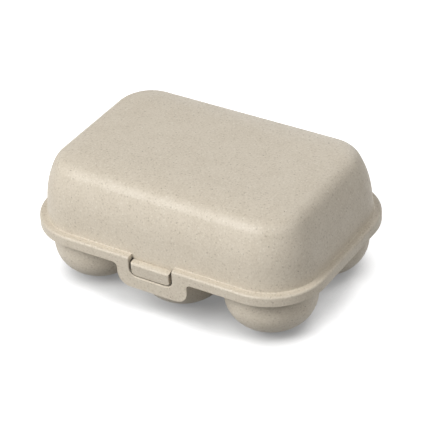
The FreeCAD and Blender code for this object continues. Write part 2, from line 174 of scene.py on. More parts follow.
def extrude_by(run: tuple[float, float, float]) -> None:
    """Draws the selected faces out along a run."""
    bpy.ops.mesh.extrude_region_move(TRANSFORM_OT_translate={"value": run})


def move_by(run: tuple[float, float, float]) -> None:
    """Moves what is selected along a run."""
    bpy.ops.transform.translate(value=run)


def round_by(radius: float, steps: int) -> None:
    """Rounds the selected edges."""
    bpy.ops.mesh.bevel(offset=radius, segments=steps, affect="EDGES")


def face_middle(face: bmesh.types.BMFace) -> Vector:
    """The middle of a face."""
    return face.calc_center_median()


def middle(edge: bmesh.types.BMEdge) -> Vector:
    """The middle of an edge."""
    return (edge.verts[0].co + edge.verts[1].co) / 2


def runs_along(edge: bmesh.types.BMEdge, axis: int) -> bool:
    """Whether an edge is parallel to an axis, given by its number."""
    run = edge.verts[1].co - edge.verts[0].co
    return abs(run[axis]) > CLOSE and all(abs(run[i]) < CLOSE for i in range(3) if i != axis)


def near(value: float, *targets: float) -> bool:
    """Whether a length is equal to one of the targets, apart from rounding."""
    return any(abs(value - target) < CLOSE for target in targets)


def raise_wall(steps: list[Step]) -> None:
    """Insets the selected face ring by ring.

    Args:
        steps: How far each ring goes inwards, and how far it rises along the face's normal.
    """
    for inset, rise in steps:
        bpy.ops.mesh.inset(thickness=inset, depth=rise, use_even_offset=True, use_boundary=True)


def steps_between(points: list[Step]) -> list[Step]:
    """The steps from each point of a section to the next."""
    return [(b[0] - a[0], b[1] - a[1]) for a, b in zip(points, points[1:])]


def arc_points(centre: Step, radius: float, first: float, last: float, count: int) -> list[Step]:
    """Points on an arc, its first one left out.

    Args:
        centre: The arc's centre.
        radius: Its radius.
        first: The angle where it starts, in radians.
        last: The angle where it ends.
        count: How many points it has.

    Returns:
        The points, in order.
    """
    turns = [first + (last - first) * (i + 1) / count for i in range(count)]
    return [(centre[0] + radius * math.cos(t), centre[1] + radius * math.sin(t)) for t in turns]


def use_modifier(piece: bpy.types.Object, kind: str, **settings: object) -> None:
    """Adds a modifier to a piece and applies it.

    Args:
        piece: The piece.
        kind: The modifier's type.
        settings: The modifier's own settings.
    """
    choose(piece)
    bpy.ops.object.modifier_add(type=kind)
    modifier = piece.modifiers[-1]
    for name, value in settings.items():
        setattr(modifier, name, value)
    bpy.ops.object.modifier_apply(modifier=modifier.name)


def combine(piece: bpy.types.Object, other: bpy.types.Object, joining: Joining) -> None:
    """Joins a solid to a piece, or cuts it away, and deletes that solid.

    Args:
        piece: The piece that is kept.
        other: The solid that is joined or cut away.
        joining: Which of the two.
    """
    use_modifier(piece, "BOOLEAN", operation=joining.value, solver="EXACT", object=other)
    bpy.data.objects.remove(other)


def copy_to(piece: bpy.types.Object, places: list[Vector]) -> bpy.types.Object:
    """Copies a piece to several places and makes one object of the copies.

    Args:
        piece: The piece, modelled about the origin. It is used up.
        places: Where each copy goes.

    Returns:
        The copies as one object.
    """
    copies = []
    for place in places:
        copy = piece.copy()
        copy.data = piece.data.copy()
        copy.data.transform(Matrix.Translation(place))
        bpy.context.scene.collection.objects.link(copy)
        copies.append(copy)
    bpy.data.objects.remove(piece)
    choose(*copies)
    bpy.ops.object.join()
    return copies[0]


def round_edges(piece: bpy.types.Object, radius: float) -> None:
    """Rounds every sharp edge of a piece.

    Args:
        piece: The piece.
        radius: The rounding's width.
    """
    use_modifier(
        piece,
        "BEVEL",
        width=radius,
        segments=ROUNDING_STEPS,
        limit_method="ANGLE",
        angle_limit=SHARP_EDGE,
        use_clamp_overlap=True,
        miter_outer="MITER_ARC",
    )
    with editing(piece, Pick.VERT):
        pick_all()
        bpy.ops.mesh.remove_doubles(threshold=DOUBLED)


def start_bore(name: str, place: Vector, radius: float, depth: float) -> bpy.types.Object:
    """Adds a cylinder along X, with which a hinge pin's hole is cut."""
    how = {"vertices": PIN_SIDES, "radius": radius, "depth": depth, "rotation": (0, QUARTER_TURN, 0)}
    return start_piece(name, bpy.ops.mesh.primitive_cylinder_add, Vector((1, 1, 1)), place, **how)


def even_shading(piece: bpy.types.Object) -> None:
    """Shades a piece smoothly, with the large faces keeping their own direction."""
    choose(piece)
    bpy.ops.object.shade_smooth_by_angle(angle=SMOOTH_BELOW)
    use_modifier(piece, "WEIGHTED_NORMAL", mode="FACE_AREA", weight=50, keep_sharp=True)


# ---- sizes and sections ----


@dataclass(frozen=True)
class Ring:
    """The flat ledge and short skirt round the lid's foot. Its centre is the Y of its middle."""

    centre: float
    length: float = 200 * MM
    width: float = 137.4 * MM
    corner: float = 37 * MM
    corner_steps: int = 20
    top: float = 43.9 * MM
    bottom: float = 37.3 * MM
    edge: float = 1.5 * MM
    edge_steps: int = 4
    skirt_wall: float = 2.2 * MM
    flange_bottom: float = 40.9 * MM

    @property
    def front(self) -> float:
        """The Y of the skirt's front face."""
        return self.centre - self.width / 2

    @property
    def back(self) -> float:
        """The Y of the skirt's rear face."""
        return self.centre + self.width / 2

    def outline(self, name: str, inset: float, level: float) -> bpy.types.Object:
        """A flat face with the ring's outline, made smaller all round.

        Args:
            name: The new piece's name.
            inset: How much smaller it is on each side.
            level: Its height.

        Returns:
            The face, looking up.
        """
        size = Vector((self.length - 2 * inset, self.width - 2 * inset, 1))
        place = Vector((0, self.centre, level))
        face = start_piece(name, bpy.ops.mesh.primitive_plane_add, size, place, size=1)
        with editing(face, Pick.VERT):
            pick_all()
            bpy.ops.mesh.bevel(offset=self.corner - inset, segments=self.corner_steps, affect="VERTICES")
        return face


@dataclass(frozen=True)
class DomeSection:
    """The dome's wall in section: a drafted foot, a bulge, a tight shoulder and a slight crown."""

    ring: Ring
    ledge_width: float = 4.8 * MM
    height: float = 87.4 * MM
    wall: float = 2.2 * MM
    draft: float = math.radians(5.5)
    bulge_radius: float = 62 * MM
    bulge_turn: float = math.radians(20.6)
    bulge_steps: int = 7
    shoulder_radius: float = 12.2 * MM
    shoulder_turn: float = math.radians(52.2)
    shoulder_steps: int = 13
    crown_steps: int = 6
    foot_fillet: float = 0.7 * MM
    fillet_steps: int = 4
    plateau_edge: float = 0.7 * MM

    def arcs(self, wall: float) -> list[tuple[Step, float, float, float, int]]:
        """The dome's three arcs from the foot up.

        Args:
            wall: How far inside the outer face they run.

        Returns:
            Centre, radius, first and last angle and number of steps of each, about the ring's inner corner.
        """
        low, mid = self.draft, self.draft + self.bulge_turn
        high = mid + self.shoulder_turn
        foot = self.ring.corner - self.ledge_width
        run = foot - self.bulge_radius * (math.cos(low) - math.cos(mid))
        run -= self.shoulder_radius * (math.cos(mid) - math.cos(high))
        rise = self.height - self.ring.top - self.bulge_radius * (math.sin(mid) - math.sin(low))
        rise -= self.shoulder_radius * (math.sin(high) - math.sin(mid))
        closing = math.cos(low) * math.cos(high) - math.sin(low) * (1 - math.sin(high))
        crown = (math.cos(low) * run - math.sin(low) * rise) / closing
        top = (0.0, self.height - crown)
        gap = crown - self.shoulder_radius
        shoulder = (top[0] + gap * math.cos(high), top[1] + gap * math.sin(high))
        gap = self.shoulder_radius - self.bulge_radius
        bulge = (shoulder[0] + gap * math.cos(mid), shoulder[1] + gap * math.sin(mid))
        flat = math.acos(self.plateau_edge / crown)
        return [
            (bulge, self.bulge_radius - wall, low, mid, self.bulge_steps),
            (shoulder, self.shoulder_radius - wall, mid, high, self.shoulder_steps),
            (top, crown - wall, high, flat, self.crown_steps),
        ]

    def wall_points(self, wall: float) -> list[Step]:
        """The dome's wall, as insets from the ring's edge against heights, from the bulge's start up.

        Args:
            wall: How far inside the outer face it runs.

        Returns:
            The points.
        """
        centre, radius, first, *_ = self.arcs(wall)[0]
        points = [(centre[0] + radius * math.cos(first), centre[1] + radius * math.sin(first))]
        for centre, radius, first, last, count in self.arcs(wall):
            points += arc_points(centre, radius, first, last, count)
        return [(self.ring.corner - out, level) for out, level in points]

    def outside(self) -> list[Step]:
        """The outer section, from the skirt's lower edge to the plateau."""
        ring = self.ring
        corner = (ring.edge, ring.top - ring.edge)
        edge = arc_points(corner, ring.edge, HALF_TURN, QUARTER_TURN, ring.edge_steps)
        start = self.foot_fillet * (1 - math.sin(self.draft)) / math.cos(self.draft)
        tangent = self.ledge_width + start * math.sin(self.draft)
        centre = (tangent - self.foot_fillet * math.cos(self.draft), ring.top + self.foot_fillet)
        fillet = arc_points(centre, self.foot_fillet, -QUARTER_TURN, -self.draft, self.fillet_steps)
        points = [(0.0, ring.bottom), (0.0, ring.top - ring.edge), *edge, (centre[0], ring.top), *fillet]
        return points + self.wall_points(0)

    def inside(self) -> list[Step]:
        """The inner section, from the skirt's lower edge to the dome's ceiling."""
        ring = self.ring
        foot = self.ledge_width - (ring.top - ring.flange_bottom) * math.tan(self.draft)
        foot += self.wall / math.cos(self.draft)
        points = [(ring.skirt_wall, ring.bottom), (ring.skirt_wall, ring.flange_bottom), (foot, ring.flange_bottom)]
        return points + self.wall_points(self.wall)


# ---- the lid and its latch ----


@dataclass
class Lid:
    """The lid: dome, ledge and skirt, the window for the catch, the latch below it and two knuckles."""

    ring: Ring
    section: DomeSection
    window_half: float = 15.5 * MM
    window_shift: float = -0.8 * MM
    window_corner: float = 5 * MM
    window_edge: float = 0.7 * MM
    edge_steps: int = 4
    sill: float = 30.8 * MM
    latch_bottom: float = 22.5 * MM
    latch_half: float = 25 * MM
    latch_corner: float = 8.5 * MM
    latch_root: float = 36.6 * MM
    gusset: float = 3 * MM
    knuckle_radius: float = 3 * MM
    knuckle_length: float = 14 * MM
    knuckle_web: float = 5 * MM
    pin_hole: float = 1.55 * MM
    rounding: float = 0.45 * MM
    hinge_places: list[Vector] = field(default_factory=list)

    def shell(self, name: str, points: list[Step]) -> bpy.types.Object:
        """An open moulded surface over the ring's outline.

        Args:
            name: The new piece's name.
            points: Its section, as insets against heights.

        Returns:
            The surface, open below, with its faces looking up and out.
        """
        surface = self.ring.outline(name, *points[0])
        with editing(surface):
            pick_all()
            raise_wall(steps_between(points))
        return surface

    def moulding(self) -> bpy.types.Object:
        """The dome, ledge and skirt as one closed wall."""
        outer = self.shell("lid", self.section.outside())
        inner = self.shell("lid_inside", self.section.inside())
        with editing(inner):
            pick_all()
            bpy.ops.mesh.flip_normals()
        choose(outer, inner)
        bpy.ops.object.join()
        with editing(outer, Pick.EDGE):
            pick(Pick.EDGE, lambda edge: edge.is_boundary)
            bpy.ops.mesh.bridge_edge_loops()
        return outer

    def hang_latch(self, lid: bpy.types.Object) -> None:
        """Draws the latch's plate down out of the skirt's lower edge.

        Args:
            lid: The lid's moulding.
        """
        ring = self.ring

        def lower_front(face: bmesh.types.BMFace) -> bool:
            return near(face_middle(face).z, ring.bottom) and face_middle(face).y < ring.front + ring.skirt_wall

        with editing(lid):
            for side in (-1, 1):
                pick(Pick.FACE, lower_front)
                bpy.ops.mesh.bisect(plane_co=(side * self.latch_half, 0, 0), plane_no=(1, 0, 0))
            pick(Pick.FACE, lambda face: lower_front(face) and abs(face_middle(face).x) < self.latch_half)
            extrude_by((0, 0, self.latch_bottom - ring.bottom))
            for wall in (ring.front, ring.front + ring.skirt_wall):
                pick(
                    Pick.FACE,
                    lambda face: face_middle(face).z < ring.top and all(near(v.co.y, wall) for v in face.verts),
                )
                bpy.ops.mesh.dissolve_faces()
            for level, radius in ((self.latch_bottom, self.latch_corner), (ring.bottom, self.gusset)):
                pick(
                    Pick.EDGE,
                    lambda edge: runs_along(edge, 1)
                    and near(abs(middle(edge).x), self.latch_half)
                    and near(middle(edge).z, level),
                )
                round_by(radius, CORNER_STEPS)

    def cut_window(self, lid: bpy.types.Object) -> None:
        """Opens the window through the ledge, the skirt and the latch.

        Args:
            lid: The lid's moulding.
        """
        ring = self.ring
        front, back = ring.front - MM, ring.front + self.section.ledge_width
        top = ring.top + MM
        size = Vector((2 * self.window_half, back - front, top - self.sill))
        place = Vector((self.window_shift, (front + back) / 2, (top + self.sill) / 2))
        cutter = start_piece("window", bpy.ops.mesh.primitive_cube_add, size, place, size=1)
        with editing(cutter, Pick.EDGE):
            pick(Pick.EDGE, lambda edge: runs_along(edge, 1) and near(middle(edge).z, self.sill))
            round_by(self.window_corner, CORNER_STEPS)
        combine(lid, cutter, Joining.DIFFERENCE)
        reach = ring.front + self.section.ledge_width - self.section.foot_fillet + CLOSE

        def on_outline(point: Vector) -> bool:
            across = abs(point.x - self.window_shift) - self.window_half + self.window_corner
            down = max(self.sill + self.window_corner - point.z, 0)
            return abs(math.hypot(max(across, 0), down) - self.window_corner) < 2 * CLOSE

        def outside(point: Vector) -> bool:
            return near(point.y, ring.front) or (point.z > ring.top - ring.edge and point.y < reach)

        with editing(lid, Pick.EDGE):
            count = pick(Pick.EDGE, lambda edge: all(on_outline(v.co) and outside(v.co) for v in edge.verts))
            log.info("window edges: %d", count)
            round_by(self.window_edge, self.edge_steps)

    def add_knuckles(self, lid: bpy.types.Object) -> None:
        """Adds the two barrels that turn on the hinge pins.

        Args:
            lid: The lid's moulding.
        """
        ring, radius, axle = self.ring, self.knuckle_radius, self.hinge_places[0]
        size = Vector((self.knuckle_length, 2 * radius, ring.bottom - axle.z + radius))
        place = Vector((0, 0, (ring.bottom - axle.z - radius) / 2))
        knuckle = start_piece("knuckle", bpy.ops.mesh.primitive_cube_add, size, place, size=1)
        root, web = ring.bottom - axle.z, ring.bottom + self.knuckle_web - axle.z
        lean = (ring.back + ring.skirt_wall - axle.y - radius) / web

        def push_edge(level: float, side: int, run: float) -> None:
            """Moves the rear (1) or front (-1) edge at a level along Y."""

            def wanted(edge: bmesh.types.BMEdge) -> bool:
                return runs_along(edge, 0) and near(middle(edge).z, level) and middle(edge).y * side > 0

            pick(Pick.EDGE, wanted)
            move_by((0, run, 0))

        with editing(knuckle, Pick.EDGE):
            pick(Pick.EDGE, lambda edge: runs_along(edge, 0) and near(middle(edge).z, -radius))
            round_by(radius * NEARLY, BARREL_STEPS)
            push_edge(root, 1, lean * root)
            pick(Pick.FACE, lambda face: near(face_middle(face).z, root))
            extrude_by((0, 0, web - root))
            push_edge(web, 1, lean * (web - root))
            push_edge(web, -1, ring.back - ring.skirt_wall / 2 - axle.y + radius)
        combine(lid, copy_to(knuckle, self.hinge_places), Joining.UNION)
        hole = start_bore("pin_hole", Vector((0, 0, 0)), self.pin_hole, 2 * self.knuckle_length)
        combine(lid, copy_to(hole, self.hinge_places), Joining.DIFFERENCE)

    def part_latch(self, lid: bpy.types.Object) -> bpy.types.Object:
        """Parts the latch from the skirt at the line where it bends, and closes both cut faces.

        Args:
            lid: The finished moulding with the latch on it.

        Returns:
            The latch, which meets the skirt with no gap.
        """
        ring = self.ring

        def of_latch(point: Vector) -> bool:
            return point.z < self.latch_root + CLOSE and point.y < ring.front + 2 * ring.skirt_wall

        with editing(lid):
            pick(Pick.FACE, lambda face: any(of_latch(v.co) for v in face.verts))
            bpy.ops.mesh.bisect(plane_co=(0, 0, self.latch_root), plane_no=(0, 0, 1))
            pick(Pick.FACE, lambda face: all(of_latch(v.co) for v in face.verts))
            bpy.ops.mesh.separate(type="SELECTED")
        latch = next(o for o in bpy.context.selected_objects if o is not lid)
        latch.name = latch.data.name = "latch"
        for piece in (lid, latch):
            with editing(piece, Pick.EDGE):
                pick(Pick.EDGE, lambda edge: edge.is_boundary)
                bpy.ops.mesh.fill_holes(sides=0)
        return latch

    def build(self) -> tuple[bpy.types.Object, bpy.types.Object]:
        """Builds the whole lid with its latch.

        Returns:
            The lid and the latch.
        """
        lid = self.moulding()
        self.hang_latch(lid)
        self.cut_window(lid)
        self.add_knuckles(lid)
        round_edges(lid, self.rounding)
        latch = self.part_latch(lid)
        for piece in (lid, latch):
            even_shading(piece)
        return lid, latch


# ---- the tray ----


@dataclass
class Tray:
    """The tray: a deck with six cups, a lip below its edge, hinge ears at the back and the catch in front."""

    ring: Ring
    cup_places: list[Vector]
    hinge_places: list[Vector]
    rim_inset: float = 2.7 * MM
    deck_top: float = 40.9 * MM
    deck_bottom: float = 38.5 * MM
    lip_wall: float = 2 * MM
    lip_bottom: float = 37.3 * MM
    cup_radius: float = 29.1 * MM
    cup_wall: float = 2.2 * MM
    side_radius: float = 21 * MM
    side_level: float = 23.3 * MM
    foot: float = 7 * MM
    hollow_foot: float = 2 * MM
    cup_sides: int = 72
    outer_steps: int = 8
    inner_steps: int = 10
    mouth_rounding: float = 1.8 * MM
    mouth_slack: float = 0.1 * MM
    edge_steps: int = 5
    catch_half: float = 13.8 * MM
    catch_shift: float = -1.3 * MM
    catch_bottom: float = 31.3 * MM
    catch_recess: float = 0.1 * MM
    catch_corner: float = 3.5 * MM
    catch_edge: float = 1.2 * MM
    catch_fall: float = 0.8 * MM
    catch_lean: float = 0.9 * MM
    slot_reach: float = 16.3 * MM
    slot_depth: float = 5.4 * MM
    slot_corner: float = 0.6 * MM
    ear_wall: float = 2.5 * MM
    ear_place: float = 8.55 * MM
    ear_radius: float = 3 * MM
    ear_root: float = 3.5 * MM
    ear_taper: float = 1 * MM
    skirt_clearance: float = 0.5 * MM
    pin_seat: float = 1.55 * MM
    rounding: float = 0.35 * MM

    def deck(self) -> bpy.types.Object:
        """The deck with the lip below its edge."""
        base = self.ring.outline("tray", self.rim_inset, self.lip_bottom)
        with editing(base):
            pick_all()
            extrude_by((0, 0, self.deck_top - self.lip_bottom))
            pick_all()
            bpy.ops.mesh.normals_make_consistent(inside=False)
            pick(Pick.FACE, lambda face: face.normal.z < -FACING)
            raise_wall([(self.lip_wall, 0.0), (0.0, self.lip_bottom - self.deck_bottom)])
        return base

    def cup_points(self, wall: float) -> list[Step]:
        """Half a cup in section, as distances from its axis against heights, from its straight top down.

        Args:
            wall: How far inside the outer face it runs.

        Returns:
            The points.
        """
        offset = self.cup_radius - self.side_radius
        p = (self.foot**2 + self.side_radius**2 - offset**2 - self.side_level**2) / (2 * self.side_radius)
        q = self.side_level / self.side_radius
        a, b, c = q**2 - 1, 2 * p * q, p**2 - self.foot**2
        level = (-b + math.sqrt(b**2 - 4 * a * c)) / (2 * a)
        bowl = p + q * level
        tilt = math.atan2(self.side_level - level, offset)
        foot, steps = (self.hollow_foot, self.inner_steps) if wall else (self.foot, self.outer_steps)
        flat = -math.acos(foot / (bowl - wall))
        points = [(self.cup_radius - wall, self.side_level)]
        points += arc_points((offset, self.side_level), self.side_radius - wall, 0, tilt, self.outer_steps)
        points += arc_points((0.0, level), bowl - wall, tilt, flat, steps)
        return points

    def bowl(self, name: str, wall: float, top: float) -> bpy.types.Object:
        """A solid with the form of a cup's outer or inner face, about the origin.

        Args:
            name: The new piece's name.
            wall: How far inside the cup's outer face its own face runs.
            top: Its top's height.

        Returns:
            The closed solid.
        """
        points = [(self.cup_radius - wall, top), *self.cup_points(wall)]
        solid = start_piece(
            name,
            bpy.ops.mesh.primitive_circle_add,
            Vector((1, 1, 1)),
            Vector((0, 0, top)),
            vertices=self.cup_sides,
            radius=points[0][0],
            fill_type="NGON",
        )
        with editing(solid):
            pick_all()
            bpy.ops.mesh.flip_normals()
            raise_wall([(-out, -rise) for out, rise in steps_between(points)])
            pick(Pick.EDGE, lambda edge: edge.is_boundary)
            bpy.ops.mesh.edge_face_add()
            pick_all()
            bpy.ops.mesh.normals_make_consistent(inside=False)
        return solid

    def add_catch(self, tray: bpy.types.Object) -> None:
        """Draws the catch out of the deck's front edge.

        Args:
            tray: The deck.
        """
        rim = self.ring.front + self.rim_inset

        def front_rim(face: bmesh.types.BMFace) -> bool:
            return all(near(v.co.y, rim) for v in face.verts)

        def in_catch(point: Vector) -> bool:
            return abs(point.x - self.catch_shift) < self.catch_half + CLOSE

        reach = self.rim_inset - self.catch_recess
        with editing(tray):
            for side in (-1, 1):
                pick(Pick.FACE, front_rim)
                edge = self.catch_shift + side * self.catch_half
                bpy.ops.mesh.bisect(plane_co=(edge, 0, 0), plane_no=(1, 0, 0))
            pick(Pick.FACE, lambda face: front_rim(face) and in_catch(face_middle(face)))
            extrude_by((0, -reach, 0))
            pick(Pick.FACE, lambda face: face.normal.z < -FACING and face_middle(face).y < rim)
            extrude_by((0, 0, self.catch_bottom - self.lip_bottom))
            pick(Pick.EDGE, lambda edge: runs_along(edge, 1) and near(middle(edge).z, self.catch_bottom))
            round_by(self.catch_corner, CORNER_STEPS)
            pick(Pick.FACE, lambda face: face.normal.y < -FACING and near(face_middle(face).y, rim - reach))
            bpy.ops.mesh.dissolve_faces()
            pick(Pick.VERT, lambda vert: near(vert.co.y, rim - reach) and near(vert.co.z, self.deck_top))
            move_by((0, 0, -self.catch_fall))
            corner = self.catch_bottom + self.catch_corner - CLOSE
            count = pick(
                Pick.EDGE, lambda edge: all(near(v.co.y, rim - reach) and v.co.z > corner for v in edge.verts)
            )
            log.info("catch edges: %d", count)
            round_by(self.catch_edge, self.edge_steps)
            self.lean_catch(rim - reach)

    def lean_catch(self, face: float) -> None:
        """Leans the catch's front back towards its lower edge.

        Args:
            face: The Y of the front.
        """
        top = self.deck_top - self.catch_fall - self.catch_edge
        mesh = bmesh.from_edit_mesh(bpy.context.object.data)
        levels = {round(v.co.z / CLOSE) for v in mesh.verts if near(v.co.y, face) and v.co.z < top}
        for step in levels:
            level = step * CLOSE
            pick(Pick.VERT, lambda vert: near(vert.co.y, face) and near(vert.co.z, level))
            share = (top - level) / (top - self.catch_bottom)
            move_by((0, share * self.catch_lean, 0))

    def cut_slots(self, tray: bpy.types.Object) -> None:
        """Cuts the deck's edge away on both sides of the catch, so that it springs on its own.

        Args:
            tray: The deck with its catch.
        """
        front, back = self.ring.front, self.ring.front + self.slot_depth
        for side in (-1, 1):
            edge = self.catch_shift + side * self.catch_half
            end = side * self.slot_reach
            size = Vector((abs(end - edge), back - front, self.deck_top - self.catch_bottom))
            place = Vector(((edge + end) / 2, (front + back) / 2, self.deck_top + MM - size.z / 2))
            slot = start_piece("slot", bpy.ops.mesh.primitive_cube_add, size, place, size=1)
            with editing(slot, Pick.EDGE):
                pick(Pick.EDGE, lambda item: runs_along(item, 2) and near(middle(item).y, back))
                round_by(self.slot_corner, ROUNDING_STEPS)
            combine(tray, slot, Joining.DIFFERENCE)

    def add_ears(self, tray: bpy.types.Object) -> None:
        """Adds the two pairs of ears that hold the hinge pins.

        Args:
            tray: The deck.
        """
        ring, radius, axle = self.ring, self.ear_radius, self.hinge_places[0]
        rim = ring.back - self.rim_inset - CLOSE
        root, under = rim - self.ear_root, ring.bottom - self.skirt_clearance
        size = Vector((self.ear_wall, axle.y + radius - root, 2 * radius))
        place = Vector((0, root + size.y / 2, axle.z))
        ear = start_piece("ear", bpy.ops.mesh.primitive_cube_add, size, place, size=1)
        with editing(ear, Pick.EDGE):
            pick(Pick.EDGE, lambda edge: runs_along(edge, 0) and near(middle(edge).y, axle.y + radius))
            round_by(radius * NEARLY, BARREL_STEPS)
            for cut in (rim, axle.y - radius):
                pick_all()
                bpy.ops.mesh.bisect(plane_co=(0, cut, 0), plane_no=(0, 1, 0))
            top = axle.z + radius
            pick(Pick.VERT, lambda vert: near(vert.co.z, top) and vert.co.y < axle.y - radius + CLOSE)
            move_by((0, 0, under - top))
            pick(Pick.VERT, lambda vert: near(vert.co.y, root) and near(vert.co.z, axle.z - radius))
            move_by((0, 0, self.ear_taper))
            pick(Pick.FACE, lambda face: near(face_middle(face).z, under) and face_middle(face).y < rim)
            extrude_by((0, 0, self.deck_bottom + MM - under))
        places = [Vector((pin.x + side * self.ear_place, 0, 0)) for pin in self.hinge_places for side in (-1, 1)]
        combine(tray, copy_to(ear, places), Joining.UNION)
        seat = start_bore("pin_seat", Vector((0, axle.y, axle.z)), self.pin_seat, ring.length)
        combine(tray, seat, Joining.DIFFERENCE)

    def build(self) -> bpy.types.Object:
        """Builds the tray.

        Returns:
            The tray.
        """
        tray = self.deck()
        self.add_catch(tray)
        self.cut_slots(tray)
        self.add_ears(tray)
        cups = copy_to(self.bowl("cups", 0, self.deck_bottom + MM), self.cup_places)
        combine(tray, cups, Joining.UNION)
        hollows = copy_to(self.bowl("hollows", self.cup_wall, self.deck_top + MM), self.cup_places)
        combine(tray, hollows, Joining.DIFFERENCE)
        with editing(tray, Pick.EDGE):
            mouth = self.cup_radius - self.cup_wall

            def on_mouth(edge: bmesh.types.BMEdge) -> bool:
                return near(middle(edge).z, self.deck_top) and any(
                    all(abs((v.co - place).xy.length - mouth) < self.mouth_slack for v in edge.verts)
                    for place in self.cup_places
                )

            log.info("mouth edges: %d", pick(Pick.EDGE, on_mouth))
            round_by(self.mouth_rounding, self.edge_steps)
        round_edges(tray, self.rounding)
        even_shading(tray)
        return tray


# ---- finishes ----


class Signal:
    """An output socket that Python's operators work on, each adding a Math node."""

    def __init__(self, shader: "Shader", socket: bpy.types.NodeSocket) -> None:
        """Keeps the socket and the shader it is in."""
        self.shader, self.socket = shader, socket

    def out(self, name: str) -> "Signal":
        """Another output of the same node."""
        return Signal(self.shader, self.socket.node.outputs[name])

    def math(self, operation: str, *values: "Signal | float") -> "Signal":
        """A Math node on some values."""
        return self.shader.node("ShaderNodeMath", {"operation": operation}, dict(enumerate(values)))

    def __add__(self, other: "Signal | float") -> "Signal":
        """The sum."""
        return self.math("ADD", self, other)

    def __sub__(self, other: "Signal | float") -> "Signal":
        """The difference."""
        return self.math("SUBTRACT", self, other)

    def __rsub__(self, other: float) -> "Signal":
        """The difference from a number."""
        return self.math("SUBTRACT", other, self)

    def __mul__(self, other: "Signal | float") -> "Signal":
        """The product."""
        return self.math("MULTIPLY", self, other)

    def __truediv__(self, other: "Signal | float") -> "Signal":
        """The quotient."""
        return self.math("DIVIDE", self, other)

    def __lt__(self, other: "Signal | float") -> "Signal":
        """1 where it is less, and 0 elsewhere."""
        return self.math("LESS_THAN", self, other)

    def between(self, low: float, high: float) -> "Signal":
        """A smooth ramp from 0 at low to 1 at high."""
        settings = {"interpolation_type": "SMOOTHSTEP"}
        return self.shader.node("ShaderNodeMapRange", settings, {"Value": self, "From Min": low, "From Max": high})

    __radd__ = __add__
    __rmul__ = __mul__


class Shader:
    """The nodes of one material or world."""

    def __init__(self, owner: bpy.types.Material | bpy.types.World) -> None:
        """Starts an empty tree in its owner."""
        owner.use_nodes = True
        self.tree = owner.node_tree
        self.tree.nodes.clear()

    def node(
        self,
        kind: str,
        settings: dict[str, object] | None = None,
        sockets: dict[str | int, "Signal | object"] | None = None,
    ) -> Signal:
        """Adds a node.

        Args:
            kind: The node's type.
            settings: Its own settings, which are set first.
            sockets: The values of its inputs, or the signals that feed them, by name or number.

        Returns:
            Its first output that is in use, or its first input where it has no output.
        """
        node = self.tree.nodes.new(kind)
        for name, value in (settings or {}).items():
            setattr(node, name, value)
        for name, value in (sockets or {}).items():
            socket = node.inputs[name]
            if isinstance(value, Signal):
                self.tree.links.new(value.socket, socket)
            else:
                socket.default_value = value
        outputs = [socket for socket in node.outputs if socket.enabled]
        return Signal(self, outputs[0] if outputs else node.inputs[0])

    def mix(self, share: Signal | float, first: Signal | tuple, second: Signal | tuple) -> Signal:
        """A colour between two others."""
        return self.node("ShaderNodeMix", {"data_type": "RGBA"}, {0: share, 6: first, 7: second})

    def noise(self, place: Signal, grain: float, detail: float = 2.0) -> Signal:
        """Soft noise with grains of a size in metres."""
        return self.node("ShaderNodeTexNoise", None, {"Vector": place, "Scale": 1 / grain, "Detail": detail})

    def openness(self, reach: float, samples: int) -> Signal:
        """How much of the space within reach of a point is open, 0 to 1."""
        return self.node("ShaderNodeAmbientOcclusion", {"samples": samples}, {"Distance": reach}).out("AO")


Colour = tuple[float, float, float, float]

WHITE: Colour = (1.0, 1.0, 1.0, 1.0)


def srgb(red: float, green: float, blue: float) -> Colour:
    """A colour given by its screen values, 0 to 255, as linear light."""

    def linear(value: float) -> float:
        share = value / 255
        return share / 12.92 if share <= 0.04045 else ((share + 0.055) / 1.055) ** 2.4

    return linear(red), linear(green), linear(blue), 1.0


@dataclass(frozen=True)
class Flecks:
    """One kind of fleck: how far apart it is seeded, its reach in that spacing, and how strongly it shows."""

    spacing: float
    smallest: float
    largest: float
    strength: float
    colour: Colour
    stretch: tuple[float, float, float] = (1.0, 1.0, 1.0)
    turn: tuple[float, float, float] = (0.0, 0.0, 0.0)
    seed: float = 0.0


